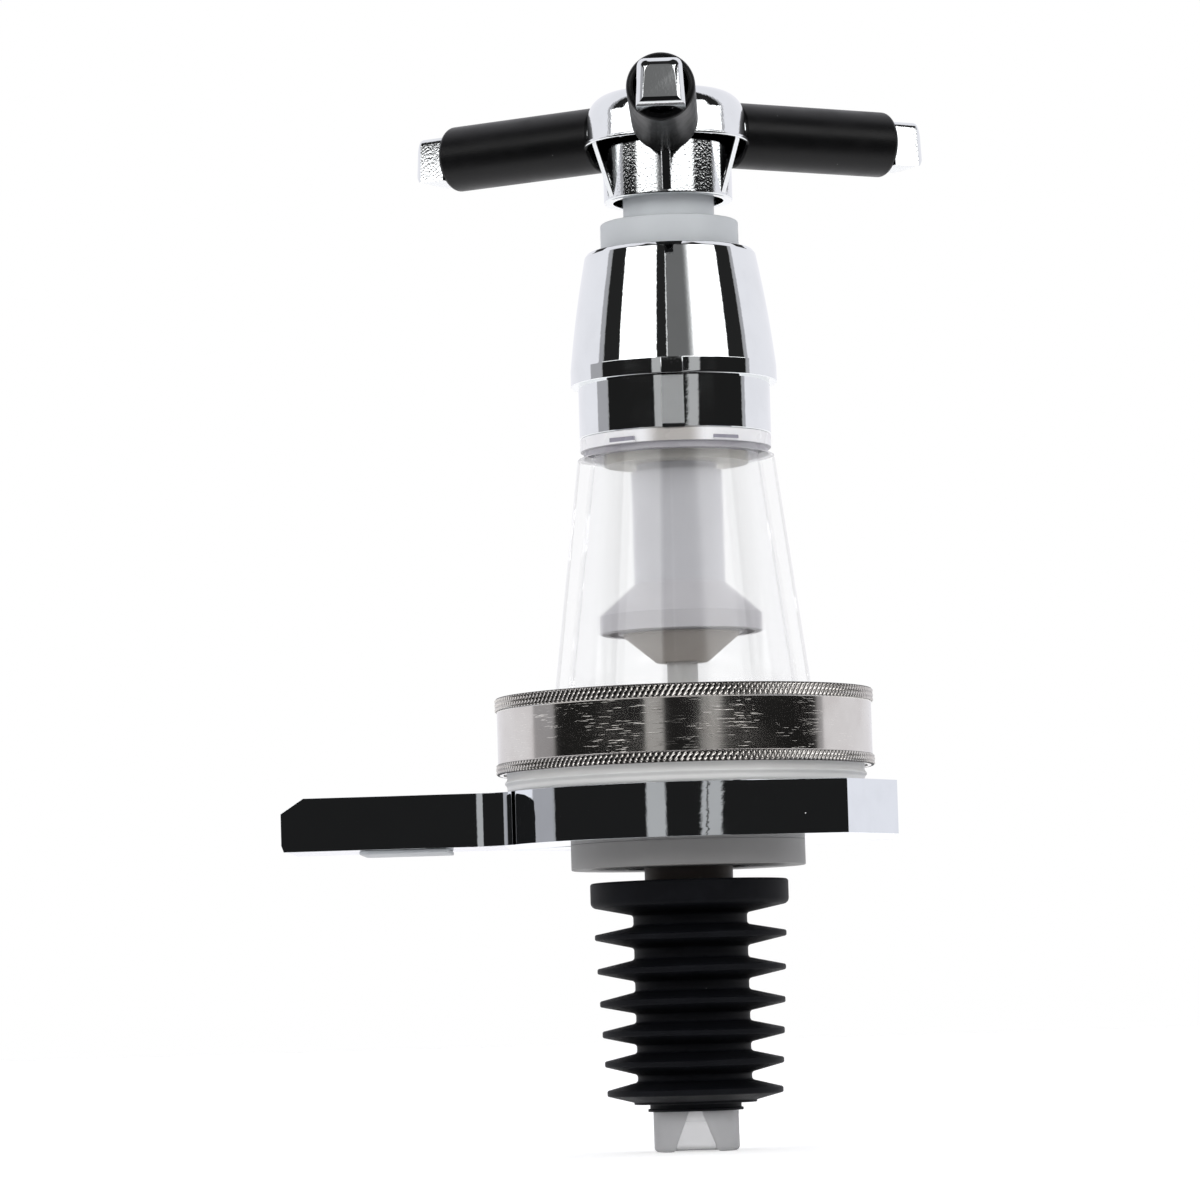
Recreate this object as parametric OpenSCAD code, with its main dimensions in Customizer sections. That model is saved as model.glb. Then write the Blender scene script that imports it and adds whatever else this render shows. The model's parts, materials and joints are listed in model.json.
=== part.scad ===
// Spirit measure for an upturned bottle, drawn the way it stands on a bench:
// stopper down, push crown up. Z = 0 is where the bottle's lip meets the stopper flange.

/* [Stopper] */
// Diameter of the flange that lands on the lip of the bottle
flange_d = 29.6; // [28.8:0.2:34]
// Thickness of the flange
flange_h = 3.7; // [2.6:0.1:6]
// Diameter of the core between the fins
core_d = 17; // [15.4:0.2:20]
// Length of the stopper below the flange
stopper_len = 30.4; // [26:0.2:40]
// Number of sealing fins
fin_count = 6; // [4:1:7]
// Diameter of the fin next to the flange
fin_first_d = 28.6; // [24:0.2:34]
// Diameter of the fin at the nose
fin_last_d = 26.2; // [22:0.2:30]
// Thickness of a fin at its rim
fin_rim_t = 0.8; // [0.6:0.1:1.4]
// Thickness of a fin where it leaves the core
fin_root_t = 3.1; // [1.6:0.1:3.4]

/* [Spigot] */
// Outer diameter of the spigot inside the stopper
spigot_d = 12.7; // [11:0.1:13]
// Wall of the spigot
spigot_wall = 1.35; // [0.9:0.05:1.6]
// Length of spigot that stands out of the stopper's nose
spigot_reach = 6; // [4:0.2:10]
// Width of the notch above its rounded corners
notch_w = 5.7; // [4:0.1:7]
// Width of the notch at its top
notch_top_w = 1.4; // [0.6:0.1:2.4]
// Outer diameter of the spigot's neck, between stopper and clamp nut
neck_d = 13.2; // [13.1:0.1:14.5]
// Length of neck in the open between stopper and clamp nut
neck_h = 2; // [1.4:0.1:5]

/* [Bracket] */
// Diameter of the clamp nut
nut_d = 35; // [30:0.5:42]
// Thickness of the clamp nut
nut_h = 3.75; // [3:0.05:6]
// Thickness of the bracket plate
plate_t = 7.9; // [5:0.1:10]
// Diameter of the round middle of the plate
plate_d = 57; // [55:0.5:62]
// Distance from the axis to the flat end of the plate's nose
nose_reach = 31.2; // [30:0.2:36]
// Width of the flat end of the nose
nose_w = 23.2; // [18:0.2:26]
// Angle of the nose's long sides
nose_side_angle = 15; // [10:1:20]
// Angle of the nose's corner facets
nose_corner_angle = 57; // [50:1:62]
// Distance from the axis to the tip of the arm
arm_reach = 60; // [54:0.5:80]
// Width of the arm
arm_w = 19; // [14:0.5:22]
// Radius of the hollow between the arm and the round middle
arm_fillet_r = 6.5; // [3:0.5:9]
// Length of the slope on the tip of the arm
tip_slope_l = 3.4; // [1:0.1:5]
// Depth of the slope on the tip of the arm
tip_slope_h = 2.2; // [1:0.1:3]
// Length of the thin pad under the arm
pad_l = 13.2; // [8:0.2:18]
// Thickness of the pad
pad_t = 0.6; // [0.4:0.1:1.5]
// Distance from the tip of the arm to the pad
pad_inset = 13.3; // [8:0.1:15]

/* [Cap and ring nut] */
// Diameter of the threaded cap under the chamber
cap_d = 53.4; // [53:0.1:53.8]
// Height of cap in the open between plate and ring nut
cap_band_h = 2.85; // [2:0.05:5]
// Thickness of the cap's floor
cap_floor_t = 6.2; // [4.4:0.1:8]
// Diameter of the cap's threaded hub, which passes through the plate
hub_d = 18; // [17:0.1:22]
// Outer diameter of the ring nut
ring_d = 56.7; // [56.2:0.1:60]
// Height of the ring nut
ring_h = 11.4; // [9.6:0.1:13]
// Height of the upper knurled band
knurl_top_h = 2; // [1.2:0.1:2.4]
// Height of the lower knurled band
knurl_low_h = 1.6; // [1:0.1:2.2]
// Depth of the smooth band between the knurled bands
ring_relief = 0.35; // [0.2:0.05:0.5]
// Thickness of the ring nut's lip over the chamber flange
ring_lip_t = 1.6; // [1:0.1:2]
// Thickness of the rubber gasket
gasket_t = 1.6; // [1:0.1:2]

/* [Chamber] */
// Outer diameter of the chamber where it leaves the ring nut
chamber_base_d = 38.6; // [36:0.2:42]
// Outer diameter of the chamber's top ring
chamber_top_d = 28.7; // [28:0.1:30]
// Height of chamber in the open
chamber_h = 38.7; // [36:0.1:50]
// Wall of the chamber
chamber_wall = 2; // [1.4:0.1:2.6]
// Thickness of the chamber's flange
chamber_flange_t = 2.2; // [1.6:0.1:3]
// Height of the clear ring above the groove
top_ring_h = 1.95; // [1.4:0.05:3]
// Height of the groove under the top ring
groove_h = 1; // [0.6:0.1:1.6]
// Length of the threaded neck inside the outlet housing
chamber_neck_h = 6.85; // [5:0.05:7]

/* [Outlet housing and shroud] */
// Diameter of the outlet housing
housing_d = 28.8; // [28:0.1:29.4]
// Height of outlet housing in the open
housing_h = 7.95; // [7.6:0.05:12]
// Thickness of the housing's inner roof
housing_roof_t = 2; // [1.4:0.1:3]
// Outer diameter of the shroud at its foot
shroud_base_d = 31.2; // [30.8:0.1:34]
// Outer diameter of the shroud at its mouth
shroud_top_d = 25.8; // [25.2:0.1:27]
// Height of the shroud
shroud_h = 20.1; // [18.6:0.1:26]
// Wall of the shroud
shroud_wall = 1.15; // [0.8:0.05:1.3]
// Width of the raised key on the front of housing and shroud
key_w = 3.3; // [2:0.1:5]
// Height that the key stands out
key_t = 0.3; // [0.2:0.05:0.6]

/* [Plunger] */
// Outer diameter of the plunger tube inside the chamber
tube_d = 13.6; // [13.4:0.1:14.4]
// Outer diameter of the tube's shaft, from the guide bush up to the crown
shaft_d = 12.1; // [11.4:0.1:12.4]
// Diameter of the passage through the tube
passage_d = 9.8; // [8:0.1:10.2]
// Travel of the plunger when a glass is pressed on the arms
stroke = 6.2; // [4.6:0.1:7]
// Diameter of the spring cap
spring_cap_d = 20.8; // [20:0.1:21.6]
// Diameter of the spring cap's neck inside the crown
cap_neck_d = 13.7; // [13.4:0.1:14.4]
// Height that the spring cap stands out of the shroud
spring_cap_out = 4.45; // [4:0.05:8]
// Thickness of the spring cap's top
spring_cap_t = 2.4; // [1.8:0.1:3]
// Length of the spring cap's skirt
skirt_h = 10.4; // [8:0.1:11]
// Gap between the spring cap and the crown
crown_gap = 3.2; // [1:0.1:5]
// Diameter of the spring's wire
wire_d = 1.2; // [0.8:0.1:1.4]
// Number of turns of the spring
spring_turns = 6.5; // [5:0.5:7]

/* [Valve] */
// Outer diameter of the bell
bell_d = 24.3; // [20:0.1:25]
// Height of the bell's straight rim
bell_rim_h = 2.75; // [2:0.05:4]
// Height of the bell's sloping roof
bell_roof_h = 4.75; // [3.6:0.05:7]
// Height of the bell's rim above the ring nut
bell_lift = 9.2; // [8.6:0.05:12]
// Diameter of the rubber seal where it meets the bell
seal_top_d = 17.4; // [15:0.1:18]
// Diameter of the rubber seal at its lower end
seal_low_d = 7.8; // [6.4:0.1:9]
// Height of the rubber seal
seal_h = 4.35; // [3.4:0.05:5]
// Diameter of the stem
stem_d = 4.6; // [3.6:0.1:5]

/* [Crown] */
// Diameter of the crown's head
crown_d = 23.2; // [22.6:0.1:26]
// Height of the crown's head
crown_h = 7.9; // [7.6:0.05:11]
// Radius of the rounded upper edge
crown_round = 3; // [1.6:0.1:3.6]
// Diameter of the thin flange at the foot of the head
crown_flange_d = 24.6; // [23.8:0.1:27]
// Diameter of the crown's skirt
crown_skirt_d = 19.4; // [18.6:0.1:21]
// Height of the skirt below the head
crown_skirt_h = 8.6; // [7.4:0.05:11]
// Wall of the skirt
crown_wall = 1.4; // [1:0.1:1.8]
// Distance from the axis to the end of an arm
push_reach = 43.7; // [38:0.1:52]
// Distance from the axis to the end of a grip
grip_reach = 38.3; // [32:0.1:40]
// Diameter of a grip
grip_d = 10; // [9.8:0.1:12]
// Radius of the rounded end of a grip
grip_round = 0.8; // [0.5:0.1:2.4]
// Width of an arm's bar inside the grip
bar_w = 6.4; // [4:0.1:6.7]
// Height of an arm's bar inside the grip
bar_h = 6.2; // [4:0.1:6.5]
// Width of an arm's swollen end at its foot
tip_w = 7.1; // [6:0.1:8]
// Height of an arm's swollen end
tip_h = 6.9; // [6:0.1:8]
// Depth of an arm's axis below the top of the crown
arm_drop = 5.6; // [5.2:0.1:6.4]
// Number of ribs between skirt and flange
rib_count = 6; // [3:3:12]
// Thickness of a rib
rib_t = 1.4; // [0.8:0.1:2]

/* [Hidden] */
$fn = 96;
e = 0.01;

// Clearances
fit = 0.05;
run = 0.08;
seal_gap = 0.3;

// Stopper and spigot
nose_z = -stopper_len;
spigot_end_z = nose_z - spigot_reach;
fin_top_z = -4.45;
fin_low_z = nose_z + 2.85;
fin_spread = 0.09;
flange_round = 0.9;
flange_low_z = 0.1;
flange_slope_h = 1.2;
collar_d = 18.3;
nose_neck_d = spigot_d + 0.7;
nose_lip_d = nose_neck_d + 0.8;
notch_round = 0.9;
neck_step_z = 1.6;

// Stack from the flange to the ring nut
nut_z = flange_h + neck_h;
plate_z = nut_z + nut_h;
cap_z = plate_z + plate_t;
ring_z = cap_z + cap_band_h;
ring_top_z = ring_z + ring_h;
chamber_flange_z = ring_top_z - ring_lip_t - chamber_flange_t;
gasket_z = chamber_flange_z - gasket_t;
cap_floor_z = cap_z + cap_floor_t;
spigot_top_z = cap_z + 0.6;
guide_t = 3.2;
port_z = spigot_top_z + guide_t + fit;

// Cap and ring nut
thread_h = 1;
thread_out = 0.45;
thread_d = ring_d - 2.3;
ring_bore_d = thread_d + 2 * fit;
rim_w = 5.4;
boss_d = hub_d;

// Chamber
chamber_z = ring_top_z;
chamber_top_z = chamber_z + chamber_h;
groove_z = chamber_top_z - top_ring_h - groove_h;
chamber_slope = (chamber_base_d - chamber_top_d) / 2 / (chamber_h - top_ring_h);
chamber_flange_d = ring_bore_d - 0.8;
chamber_root_d = chamber_base_d + 2 * chamber_slope * ring_lip_t;
ring_lip_d = chamber_root_d + 0.6;
seal_pocket_d = shaft_d + 6;
hub_pocket_d = shaft_d + 3;
hub_pocket_h = 1.2;
neck_out_d = seal_pocket_d + 4.6;
neck_top_z = chamber_top_z + chamber_neck_h;
chamber_roof_t = top_ring_h + 0.2;

// Guide bush and outlet seal
bush_flange_t = 1.9;
bush_flange_d = shaft_d + 9.5;
outlet_seal_h = 3.6;
lip_t = 0.7;
lip_groove_h = 1.6;
seal_low_z = neck_top_z - outlet_seal_h;
bush_flange_top_z = chamber_top_z - chamber_roof_t - 0.05;
bush_z = bush_flange_top_z - bush_flange_t;

// Outlet housing and shroud
housing_top_z = chamber_top_z + housing_h;
shroud_z = housing_top_z;
shroud_top_z = shroud_z + shroud_h;
roof_z = neck_top_z + fit;
spigot_rim_h = 3.4;
spigot_rim_d = housing_d - 1.2;
shroud_foot_h = 2.4;
mouth_d = shroud_top_d - 2 * shroud_wall;
mouth_round = 0.6;

// Plunger
spring_cap_top_z = shroud_top_z + spring_cap_out;
spring_cap_z = spring_cap_top_z - spring_cap_t;
skirt_z = spring_cap_top_z - skirt_h;
skirt_wall = 0.9;
crown_z = spring_cap_top_z + crown_gap;
cap_neck_h = 6.5;
thrust_z = crown_z + cap_neck_h;
tube_shoulder_z = bush_z - 1.1;
spring_seat_t = 0.8;
spring_seat_z = roof_z + housing_roof_t + 0.02;
spring_z = spring_seat_z + spring_seat_t + 0.02;
spring_top_z = spring_cap_z - 0.02;
spring_mean_r = (shaft_d + spring_cap_d - 2 * skirt_wall) / 4 + 0.4;
ring_steps = 8;
tube_sides = 6;
spring_rings = floor(spring_turns * ring_steps);
spring_rise = spring_top_z - spring_z - wire_d;
port_r = 1.5;
port_count = 4;
port_hole_z = bush_z - 0.6 - port_r + stroke;

// Valve
bell_z = ring_top_z + bell_lift;
bell_top_z = bell_z + bell_rim_h + bell_roof_h;
bell_hollow_h = 1.6;
bell_hollow_low_d = seal_top_d + 1.2;
bell_hollow_high_d = bell_d - 2.2;
plug_h = 5;
seal_z = bell_z - seal_h;
stem_head_z = bell_z + bell_rim_h + 1.6;
stem_end_z = cap_z - 4.4;
seat_top_z = seal_z - stroke + 1.7;
seat_t = 1.5;
boss_z = seat_top_z - seat_t;
seal_slope = (seal_top_d - seal_low_d) / 2 / seal_h;
seat_offset = seal_gap * sqrt(1 + seal_slope * seal_slope);
port_d = stem_d + 5.4;

// Crown
crown_head_z = crown_z + crown_skirt_h;
crown_top_z = crown_head_z + crown_h;
arm_z = crown_top_z - arm_drop;
skirt_hollow_h = 3.4;
crown_floor_z = crown_top_z - 2.3;
tube_top_z = crown_floor_z - fit;
grip_start = crown_d / 2 + 0.1;
root_end = grip_start - run;
arm_angles = [-90, 30, 150];
bar_start = 6;
bar_round = 1.1;
tip_top_w = tip_w - 0.7;
tip_drop = 0.15;
tip_round = 1.7;
tip_bevel = 1.1;
crown_flange_t = 0.6;
rib_low_z = crown_z + 0.5;

// Points of an arc about [x, y], from angle a to angle b
function arc(x, y, r, a, b, n = 8) =
    [for (i = [0:n]) let (t = a + (b - a) * i / n) [x + r * cos(t), y + r * sin(t)]];

// Outer radius of the chamber's cone at height z
function cone_r(z) = chamber_base_d / 2 - chamber_slope * (z - chamber_z);

// Radius of the seat at height z, a fixed gap from the seal at full travel
function seat_r(z) = seal_low_d / 2 + seal_slope * (z - seal_z + stroke) + seat_offset;

// Diameter of the fin at share t of the way from the flange to the nose
function fin_d(t) = fin_first_d + (fin_last_d - fin_first_d) * t;

// Height of that fin; the pitch shrinks a little towards the nose
function fin_z(t) = fin_top_z + (fin_low_z - fin_top_z) * (t + fin_spread * t * (1 - t));

module turn(points) {
    rotate_extrude() polygon(points);
}

module ring(outer_d, inner_d, z, h) {
    translate([0, 0, z]) difference() {
        cylinder(d = outer_d, h = h);
        translate([0, 0, -1]) cylinder(d = inner_d, h = h + 2);
    }
}

module hole(d, z, h) {
    translate([0, 0, z]) cylinder(d = d, h = h);
}

// Stopper and spigot

module fin(z, d) {
    half_rim = fin_rim_t / 2;
    half_root = fin_root_t / 2;
    turn(concat(
        [[core_d / 2 - 1, z - half_root], [core_d / 2, z - half_root]],
        arc(d / 2 - half_rim, z, half_rim, -80, 80, 6),
        [[core_d / 2, z + half_root], [core_d / 2 - 1, z + half_root]]
    ));
}

module stopper() {
    r = flange_d / 2;
    color([0.09, 0.1, 0.11]) difference() {
        union() {
            turn(concat(
                [[0, nose_z + 2.2], [core_d / 2, nose_z + 2.2], [core_d / 2, -flange_slope_h]],
                arc(r - flange_round, flange_low_z + flange_round, flange_round, -80, 0),
                arc(r - 0.4, flange_h - 0.4, 0.4, 0, 90, 4),
                [[0, flange_h]]
            ));
            for (i = [0:fin_count - 1]) {
                t = i / (fin_count - 1);
                fin(fin_z(t), fin_d(t));
            }
            translate([0, 0, nose_z]) cylinder(d = nose_lip_d, h = 0.45);
            translate([0, 0, nose_z]) cylinder(d = nose_neck_d, h = 2.4);
            translate([0, 0, nose_z + 1.1]) cylinder(d = collar_d, h = 1.4);
        }
        hole(spigot_d + 2 * fit, nose_z - 1, stopper_len + neck_step_z + 1);
        hole(neck_d + 2 * fit, neck_step_z, flange_h);
    }
}

// Notch in the front of the spigot's tip, narrow above, with rounded corners below
module spigot_notch() {
    low = spigot_end_z;
    corner_x = notch_w / 2 + notch_round;
    half = concat(
        [[notch_top_w / 2, nose_z + 0.6]],
        arc(corner_x, low + notch_round, notch_round, 170, 270, 5),
        [[corner_x, low - 1]]
    );
    rotate([90, 0, 0]) linear_extrude(spigot_d)
        polygon(concat(half, [for (i = [len(half) - 1:-1:0]) [-half[i][0], half[i][1]]]));
}

module spigot_tube() {
    r = spigot_d / 2;
    color([0.78, 0.78, 0.76]) difference() {
        turn(concat(
            [[0, spigot_end_z]],
            arc(r - 0.7, spigot_end_z + 0.7, 0.7, -90, 0, 5),
            [[r, neck_step_z], [neck_d / 2, neck_step_z], [neck_d / 2, spigot_top_z], [0, spigot_top_z]]
        ));
        hole(spigot_d - 2 * spigot_wall, spigot_end_z - 1, spigot_top_z - spigot_end_z + 2);
        spigot_notch();
    }
}

// Bracket

module clamp_nut() {
    r = nut_d / 2;
    c = 0.4;
    color([0.8, 0.81, 0.82]) difference() {
        turn([
            [0, nut_z], [r - c, nut_z], [r, nut_z + c],
            [r, plate_z - c], [r - c, plate_z], [0, plate_z]
        ]);
        hole(hub_d + 2 * fit, nut_z - 1, nut_h + 2);
    }
}

// Outline of the nose on the +X side, from its tangent points on the round middle
module nose_outline() {
    r = plate_d / 2;
    sa = nose_side_angle;
    ca = nose_corner_angle;
    half = nose_w / 2;
    // The corner facet runs through the end of the flat; the side runs along the circle's tangent
    facet = nose_reach * sin(ca) + half * cos(ca);
    det = sin(sa) * cos(ca) - cos(sa) * sin(ca);
    cx = (r * cos(ca) - facet * cos(sa)) / det;
    cy = (sin(sa) * facet - sin(ca) * r) / det;
    side = [[r * sin(sa), r * cos(sa)], [cx, cy], [nose_reach, half]];
    polygon(concat(
        [[0, 0]],
        [for (p = side) p],
        [for (i = [2:-1:0]) [side[i][0], -side[i][1]]]
    ));
}

module arm_fillet() {
    r = plate_d / 2 + arm_fillet_r;
    y = arm_w / 2 + arm_fillet_r;
    x = -sqrt(r * r - y * y);
    difference() {
        polygon([[x, 0], [x, y], [x * plate_d / 2 / r, y * plate_d / 2 / r], [0, 0]]);
        translate([x, y]) circle(r = arm_fillet_r);
    }
}

module plate_outline() {
    circle(d = plate_d);
    nose_outline();
    translate([-arm_reach, -arm_w / 2]) square([arm_reach, arm_w]);
    arm_fillet();
    mirror([0, 1]) arm_fillet();
}

module bracket_plate() {
    end_bevel = 0.35;
    color([0.75, 0.76, 0.78]) difference() {
        translate([0, 0, plate_z]) linear_extrude(plate_t) plate_outline();
        hole(hub_d + 2 * fit, plate_z - 1, plate_t + 2);
        translate([0, arm_w, plate_z]) rotate([90, 0, 0]) linear_extrude(2 * arm_w) polygon([
            [-arm_reach - 1, plate_t + 1], [-arm_reach - 1, 0], [-arm_reach + end_bevel, 0],
            [-arm_reach, 1], [-arm_reach, plate_t - tip_slope_h],
            [-arm_reach + tip_slope_l, plate_t], [-arm_reach + tip_slope_l, plate_t + 1]
        ]);
    }
}

module bracket_pad() {
    w = arm_w - 3;
    x = -arm_reach + pad_inset;
    color([0.82, 0.83, 0.84]) translate([x, 0, plate_z - pad_t]) linear_extrude(pad_t) {
        for (s = [-1, 1])
            translate([0, s * (w / 2 - 2)]) circle(r = 2);
        translate([0, -w / 2]) square([pad_l - 2, w]);
        translate([-2, -w / 2 + 2]) square([pad_l, w - 4]);
        for (s = [-1, 1])
            translate([pad_l - 4, s * (w / 2 - 2)]) circle(r = 2);
    }
}

// Cap and ring nut

module chamber_cap() {
    r = cap_d / 2;
    ridge_z = cap_z + 1.1;
    color([0.93, 0.93, 0.92]) difference() {
        union() {
            turn([
                [0, cap_z], [r - 0.4, cap_z], [r, cap_z + 0.4],
                [r, ridge_z], [r + thread_out, ridge_z + thread_h / 2], [r, ridge_z + thread_h],
                [r, ring_z], [thread_d / 2, ring_z + 0.3], [thread_d / 2, gasket_z],
                [thread_d / 2 - rim_w, gasket_z], [thread_d / 2 - rim_w, cap_floor_z],
                [boss_d / 2 + 0.8, cap_floor_z], [boss_d / 2, boss_z], [0, boss_z]
            ]);
            hole(hub_d, nut_z + 0.3, cap_z - nut_z);
        }
        hole(neck_d + 2 * fit, nut_z - 1, port_z - nut_z + 1);
        hole(port_d, port_z - 1, boss_z - port_z + 2);
    }
}

module stem_guide() {
    hub = stem_d + 2.6;
    rim = neck_d - 0.1;
    web_t = 1.2;
    color([0.85, 0.85, 0.84]) translate([0, 0, spigot_top_z]) linear_extrude(guide_t) difference() {
        union() {
            difference() {
                circle(d = rim);
                circle(d = port_d);
            }
            circle(d = hub);
            for (a = [30:120:390])
                rotate([0, 0, a]) translate([0, -web_t / 2]) square([(rim + port_d) / 4, web_t]);
        }
        circle(d = stem_d + 2 * run);
    }
}

module inlet_seat() {
    r = boss_d / 2;
    color([0.72, 0.7, 0.66]) turn([
        [seat_r(boss_z), boss_z], [r, boss_z], [r, seat_top_z - 0.5],
        [r - 0.5, seat_top_z], [seat_r(seat_top_z), seat_top_z]
    ]);
}

module chamber_gasket() {
    color([0.2, 0.2, 0.2]) ring(chamber_flange_d, thread_d - 2 * rim_w + 1, gasket_z, gasket_t);
}

module ring_nut() {
    r = ring_d / 2;
    mid = r - ring_relief;
    b = ring_bore_d / 2;
    step = 0.15;
    c = 0.2;
    low = ring_z + knurl_low_h;
    high = ring_top_z - knurl_top_h;
    color([0.62, 0.59, 0.55]) turn([
        [b, ring_z], [r - c, ring_z], [r, ring_z + c], [r, low - step], [mid, low], [mid, high],
        [r, high + step], [r, ring_top_z - c], [r - c, ring_top_z], [ring_lip_d / 2, ring_top_z],
        [ring_lip_d / 2, ring_top_z - ring_lip_t], [b, ring_top_z - ring_lip_t]
    ]);
}

// Chamber

module chamber() {
    w = chamber_wall;
    roof_z = chamber_top_z - chamber_roof_t;
    lug_z = groove_z + groove_h + 0.15;
    color([0.85, 0.92, 0.97, 0.35]) difference() {
        union() {
            turn([
                [0, chamber_flange_z], [chamber_flange_d / 2, chamber_flange_z],
                [chamber_flange_d / 2, ring_top_z - ring_lip_t],
                [chamber_root_d / 2, ring_top_z - ring_lip_t],
                [cone_r(groove_z) + 0.35, groove_z], [chamber_top_d / 2 - 0.5, groove_z],
                [chamber_top_d / 2 - 0.5, groove_z + groove_h],
                [chamber_top_d / 2, groove_z + groove_h], [chamber_top_d / 2, chamber_top_z],
                [neck_out_d / 2, chamber_top_z], [neck_out_d / 2, neck_top_z], [0, neck_top_z]
            ]);
            for (a = [-122, -58])
                rotate([0, 0, a]) translate([chamber_top_d / 2 - 1, -2.1, lug_z]) cube([1.3, 4.2, 0.7]);
        }
        turn([
            [0, chamber_flange_z - 1], [chamber_root_d / 2 - w, chamber_flange_z - 1],
            [chamber_root_d / 2 - w, ring_top_z - ring_lip_t],
            [cone_r(roof_z) - w, roof_z], [hub_pocket_d / 2, roof_z],
            [hub_pocket_d / 2, roof_z + hub_pocket_h], [shaft_d / 2 + seal_gap, roof_z + hub_pocket_h],
            [shaft_d / 2 + seal_gap, seal_low_z], [seal_pocket_d / 2, seal_low_z],
            [seal_pocket_d / 2, neck_top_z + 1], [0, neck_top_z + 1]
        ]);
    }
}

module guide_bush() {
    color([0.93, 0.89, 0.78]) difference() {
        union() {
            hole(bush_flange_d, bush_z, bush_flange_t);
            hole(hub_pocket_d - 2 * fit, bush_z, bush_flange_t + hub_pocket_h);
        }
        hole(shaft_d + 2 * run, bush_z - 1, bush_flange_t + hub_pocket_h + 2);
    }
}

module outlet_seal() {
    r = seal_pocket_d / 2 - fit;
    inner = shaft_d / 2 + run;
    top = neck_top_z;
    color([0.12, 0.12, 0.12]) turn([
        [inner + lip_t, seal_low_z], [r, seal_low_z], [r, top], [r - lip_t, top],
        [(r + inner) / 2, top - lip_groove_h], [inner + lip_t, top], [inner, top - lip_t],
        [inner, top - lip_groove_h]
    ]);
}

// Outlet housing and shroud

module key(r, z, h) {
    translate([-key_w / 2, -r - key_t, z]) cube([key_w, 2 + key_t, h]);
}

module outlet_housing() {
    r = housing_d / 2;
    color([0.72, 0.73, 0.75]) difference() {
        union() {
            turn([
                [0, chamber_top_z], [r - 0.2, chamber_top_z], [r, chamber_top_z + 0.2],
                [r, housing_top_z], [spigot_rim_d / 2, housing_top_z],
                [spigot_rim_d / 2, housing_top_z + spigot_rim_h], [0, housing_top_z + spigot_rim_h]
            ]);
            key(r, chamber_top_z, housing_h);
        }
        hole(neck_out_d + 2 * fit, chamber_top_z - 1, roof_z - chamber_top_z + 1);
        hole(shaft_d + 1, roof_z - 1, housing_roof_t + 2);
        hole(spigot_rim_d - 2.4, roof_z + housing_roof_t, shroud_h);
    }
}

module shroud() {
    r = shroud_base_d / 2;
    top = shroud_top_d / 2;
    foot = shroud_z + shroud_foot_h;
    rim = spigot_rim_d / 2 + fit;
    ledge_z = shroud_z + spigot_rim_h + fit;
    swell = 0.2;
    cone_h = shroud_top_z - mouth_round - foot;
    side_r = r - 0.15;
    // The side swells a little between foot and mouth
    side = [for (i = [0:8]) let (t = i / 8)
        [side_r + (top - side_r) * t + swell * sin(180 * t), foot + cone_h * t]];
    color([0.78, 0.79, 0.81]) difference() {
        union() {
            turn(concat(
                [[0, shroud_z], [r - 0.35, shroud_z], [r, shroud_z + 0.3], [r, shroud_z + 0.7]],
                [[r - 0.12, shroud_z + 0.9]],
                side,
                arc(top - mouth_round, shroud_top_z - mouth_round, mouth_round, 20, 90, 5),
                [[0, shroud_top_z]]
            ));
            key(side_r, shroud_z, shroud_foot_h);
        }
        turn([
            [0, shroud_z - 1], [rim, shroud_z - 1], [rim, ledge_z], [rim - 0.6, ledge_z],
            [mouth_d / 2, shroud_top_z - 1.6], [mouth_d / 2, shroud_top_z + 1], [0, shroud_top_z + 1]
        ]);
    }
}

// Spring

module spring_seat() {
    color([0.7, 0.7, 0.72])
        ring(2 * spring_mean_r + 3.4, shaft_d + 1, spring_seat_z, spring_seat_t);
}

// Centre of the wire at ring i
function coil_point(i) = let (a = 360 * i / ring_steps)
    [spring_mean_r * cos(a), spring_mean_r * sin(a), spring_z + wire_d / 2 + spring_rise * i / spring_rings];

// Corners of the wire's section there
function coil_ring(i) = let (p = coil_point(i), a = 360 * i / ring_steps)
    [for (k = [0:tube_sides - 1]) let (b = 360 * k / tube_sides + 30, out = wire_d / 2 * cos(b))
        p + [out * cos(a), out * sin(a), wire_d / 2 * sin(b)]];

// Least distance between the wire's surfaces one turn apart
coil_gap = min([for (i = [0:spring_rings - ring_steps])
    norm(coil_point(i + ring_steps) - coil_point(i))]) - wire_d;
echo(coil_gap = coil_gap);

// One unbroken tube swept along the helix

module return_spring() {
    points = [for (i = [0:spring_rings]) each coil_ring(i)];
    sides = [for (i = [0:spring_rings - 1], k = [0:tube_sides - 1])
        let (a = i * tube_sides + k, b = i * tube_sides + (k + 1) % tube_sides)
        each [[a, a + tube_sides, b], [b, a + tube_sides, b + tube_sides]]];
    last = spring_rings * tube_sides;
    ends = [for (k = [1:tube_sides - 2]) each [[0, k, k + 1], [last, last + k + 1, last + k]]];
    color([0.7, 0.71, 0.73]) polyhedron(points, concat(sides, ends), convexity = 10);
}

// Plunger

module spring_cap() {
    r = spring_cap_d / 2;
    color([0.82, 0.83, 0.84]) difference() {
        turn([
            [0, skirt_z], [r, skirt_z], [r, spring_cap_top_z - 0.25], [r - 0.25, spring_cap_top_z],
            [cap_neck_d / 2, spring_cap_top_z], [cap_neck_d / 2, thrust_z - fit], [0, thrust_z - fit]
        ]);
        hole(spring_cap_d - 2 * skirt_wall, skirt_z - 1, spring_cap_z - skirt_z + 1);
        hole(shaft_d + 2 * run, skirt_z, thrust_z - skirt_z + 1);
    }
}

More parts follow.
